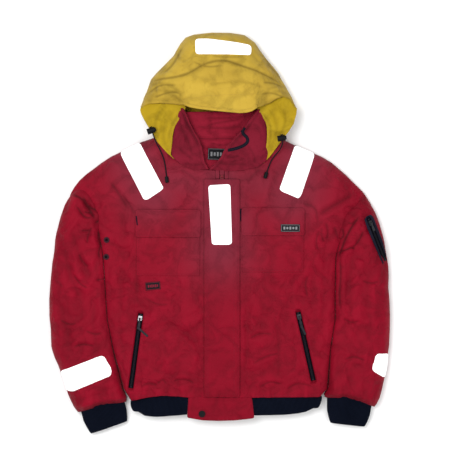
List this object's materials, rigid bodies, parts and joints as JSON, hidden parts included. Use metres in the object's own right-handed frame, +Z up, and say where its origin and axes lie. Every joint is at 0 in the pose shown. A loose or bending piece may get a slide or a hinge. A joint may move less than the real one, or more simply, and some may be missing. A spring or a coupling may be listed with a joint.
{
  "type": "foul weather jacket",
  "caption": "Padded sailing jacket lying on its back: spread high-visibility hood, storm flap over the front zip, slanted hand pockets, reflective patches, rib-knit cuffs and hem.",
  "frame": {"origin": "middle of the jacket's length and width, on the surface that it lies on", "axes": "+Y from the hem to the hood, +X to the wearer's left, +Z up through the jacket's thickness"},
  "size_m": [0.828, 0.9666, 0.104],
  "materials": {
    "red_shell": "matt padded nylon shell",
    "red_lining": "thin nylon lining",
    "yellow_shell": "matt high visibility hood cloth",
    "navy_rib": "stretch rib knit",
    "reflective_tape": "silver retroreflective tape",
    "zip_tape": "woven zip tape with moulded teeth",
    "zip_metal": "dark lacquered zip hardware",
    "black_plastic": "moulded nylon",
    "drawcord": "braided cord",
    "label": "woven label",
    "fastening_tape": "hook and loop tape"
  },
  "bodies": {
    "jacket_body": {"back_shell": "red_shell", "body_lining": "red_lining", "chest_pockets": "red_shell", "collar_back": "red_shell", "collar_front_left": "red_shell", "collar_front_right": "red_shell", "cord_end_left": "black_plastic", "cord_end_right": "black_plastic", "cord_guides": "black_plastic", "drawcord_left": "drawcord", "drawcord_right": "drawcord", "flap_loop_tape": "fastening_tape", "front_shell_left": "red_shell", "front_shell_right": "red_shell", "hand_pocket_bags": "red_lining", "hand_pocket_zips": "zip_tape", "hem_ribs": "navy_rib", "hem_snap": "zip_metal", "hem_tab": "red_shell", "hood_back": "yellow_shell", "hood_crown": "yellow_shell", "hood_lining": "yellow_shell", "hood_lobe_left": "yellow_shell", "hood_lobe_right": "yellow_shell", "hood_sides": "yellow_shell", "labels": "label", "main_zip_left": "zip_tape", "main_zip_right": "zip_tape", "reflective_hood": "reflective_tape", "reflective_shoulders": "reflective_tape", "shoulder_yokes": "red_shell", "side_panels": "red_shell", "vent_eyelets": "zip_metal"},
    "storm_flap": {"storm_flap": "red_shell", "flap_hook_tape": "fastening_tape", "reflective_placket": "reflective_tape"},
    "main_zip_slider": {"main_zip_slider": "zip_metal"},
    "main_zip_pull": {"main_zip_pull": "zip_metal"},
    "pocket_flap_right": {"pocket_flap_right": "red_shell"},
    "pocket_flap_left": {"pocket_flap_left": "red_shell", "chest_label": "label"},
    "hand_slider_right": {"hand_slider_right": "zip_metal"},
    "hand_pull_right": {"hand_pull_right": "zip_metal"},
    "hand_slider_left": {"hand_slider_left": "zip_metal"},
    "hand_pull_left": {"hand_pull_left": "zip_metal"},
    "visor": {"visor": "yellow_shell"},
    "sleeve_right": {"sleeve_right": "red_shell", "cuff_right": "navy_rib", "reflective_sleeve_right": "reflective_tape"},
    "sleeve_left": {"sleeve_left": "red_shell", "cuff_left": "navy_rib", "reflective_sleeve_left": "reflective_tape", "sleeve_pocket": "zip_tape", "sleeve_pocket_zip": "zip_tape"},
    "sleeve_slider": {"sleeve_slider": "zip_metal"},
    "sleeve_pull": {"sleeve_pull": "zip_metal"},
    "cord_lock_right": {"cord_lock_right": "black_plastic"},
    "lock_button_right": {"lock_button_right": "black_plastic"},
    "cord_lock_left": {"cord_lock_left": "black_plastic"},
    "lock_button_left": {"lock_button_left": "black_plastic"}
  },
  "joints": [
    {"name": "storm_flap_fold", "type": "hinge", "parent": "jacket_body", "child": "storm_flap", "pos_m": [0.0493, -0.13, 0.0581], "axis": [0, 1, 0], "range_deg": [0, 88]},
    {"name": "main_zip_run", "type": "slide", "parent": "jacket_body", "child": "main_zip_slider", "axis": [0, -1, 0], "range_m": [0, 0.5]},
    {"name": "main_pull_tilt", "type": "hinge", "parent": "main_zip_slider", "child": "main_zip_pull", "pos_m": [0.006, 0.1385, 0.05149], "axis": [1, 0, -0.002], "range_deg": [0, 120]},
    {"name": "pocket_flap_right_lift", "type": "hinge", "parent": "jacket_body", "child": "pocket_flap_right", "pos_m": [-0.123, 0.0603, 0.05648], "axis": [-1, 0, 0], "range_deg": [0, 130]},
    {"name": "pocket_flap_left_lift", "type": "hinge", "parent": "jacket_body", "child": "pocket_flap_left", "pos_m": [0.129, 0.0643, 0.05622], "axis": [-1, 0, 0], "range_deg": [0, 130]},
    {"name": "hand_zip_right_run", "type": "slide", "parent": "jacket_body", "child": "hand_slider_right", "axis": [-0.1337, -0.991, -0.009], "range_m": [0, 0.134]},
    {"name": "hand_pull_right_tilt", "type": "hinge", "parent": "hand_slider_right", "child": "hand_pull_right", "pos_m": [-0.1914, -0.20131, 0.04541], "axis": [-0.9887, 0.134, -0.0667], "range_deg": [0, 150]},
    {"name": "hand_zip_left_run", "type": "slide", "parent": "jacket_body", "child": "hand_slider_left", "axis": [0.2193, -0.9755, -0.0152], "range_m": [0, 0.122]},
    {"name": "hand_pull_left_tilt", "type": "hinge", "parent": "hand_slider_left", "child": "hand_pull_left", "pos_m": [0.19195, -0.19759, 0.04539], "axis": [-0.9732, -0.2198, 0.0676], "range_deg": [0, 150]},
    {"name": "visor_lift", "type": "hinge", "parent": "jacket_body", "child": "visor", "pos_m": [0, 0.364, 0.1045], "axis": [-1, 0, 0], "range_deg": [0, 100]},
    {"name": "sleeve_right_swing", "type": "hinge", "parent": "jacket_body", "child": "sleeve_right", "pos_m": [-0.33, 0.0306, 0], "axis": [0, 0, -1], "range_deg": [0, 34]},
    {"name": "sleeve_left_swing", "type": "hinge", "parent": "jacket_body", "child": "sleeve_left", "pos_m": [0.33, 0.0306, 0], "axis": [0, 0, 1], "range_deg": [0, 34]},
    {"name": "sleeve_zip_run", "type": "slide", "parent": "sleeve_left", "child": "sleeve_slider", "axis": [0.3776, -0.9125, -0.1573], "range_m": [0, 0.075]},
    {"name": "sleeve_pull_tilt", "type": "hinge", "parent": "sleeve_slider", "child": "sleeve_pull", "pos_m": [0.36436, 0.02775, 0.05039], "axis": [-0.8413, -0.4091, 0.3534], "range_deg": [0, 150]},
    {"name": "cord_lock_right_run", "type": "slide", "parent": "jacket_body", "child": "cord_lock_right", "axis": [0.3295, -0.9415, -0.0706], "range_m": [0, 0.004]},
    {"name": "lock_button_right_press", "type": "slide", "parent": "cord_lock_right", "child": "lock_button_right", "axis": [-0.9439, -0.3304, 0], "range_m": [0, 0.003], "stiffness_N_per_m": 400},
    {"name": "cord_lock_left_run", "type": "slide", "parent": "jacket_body", "child": "cord_lock_left", "axis": [0.1503, -0.9861, -0.0704], "range_m": [0, 0.004]},
    {"name": "lock_button_left_press", "type": "slide", "parent": "cord_lock_left", "child": "lock_button_left", "axis": [-0.9886, -0.1506, 0], "range_m": [0, 0.003], "stiffness_N_per_m": 400}
  ]
}
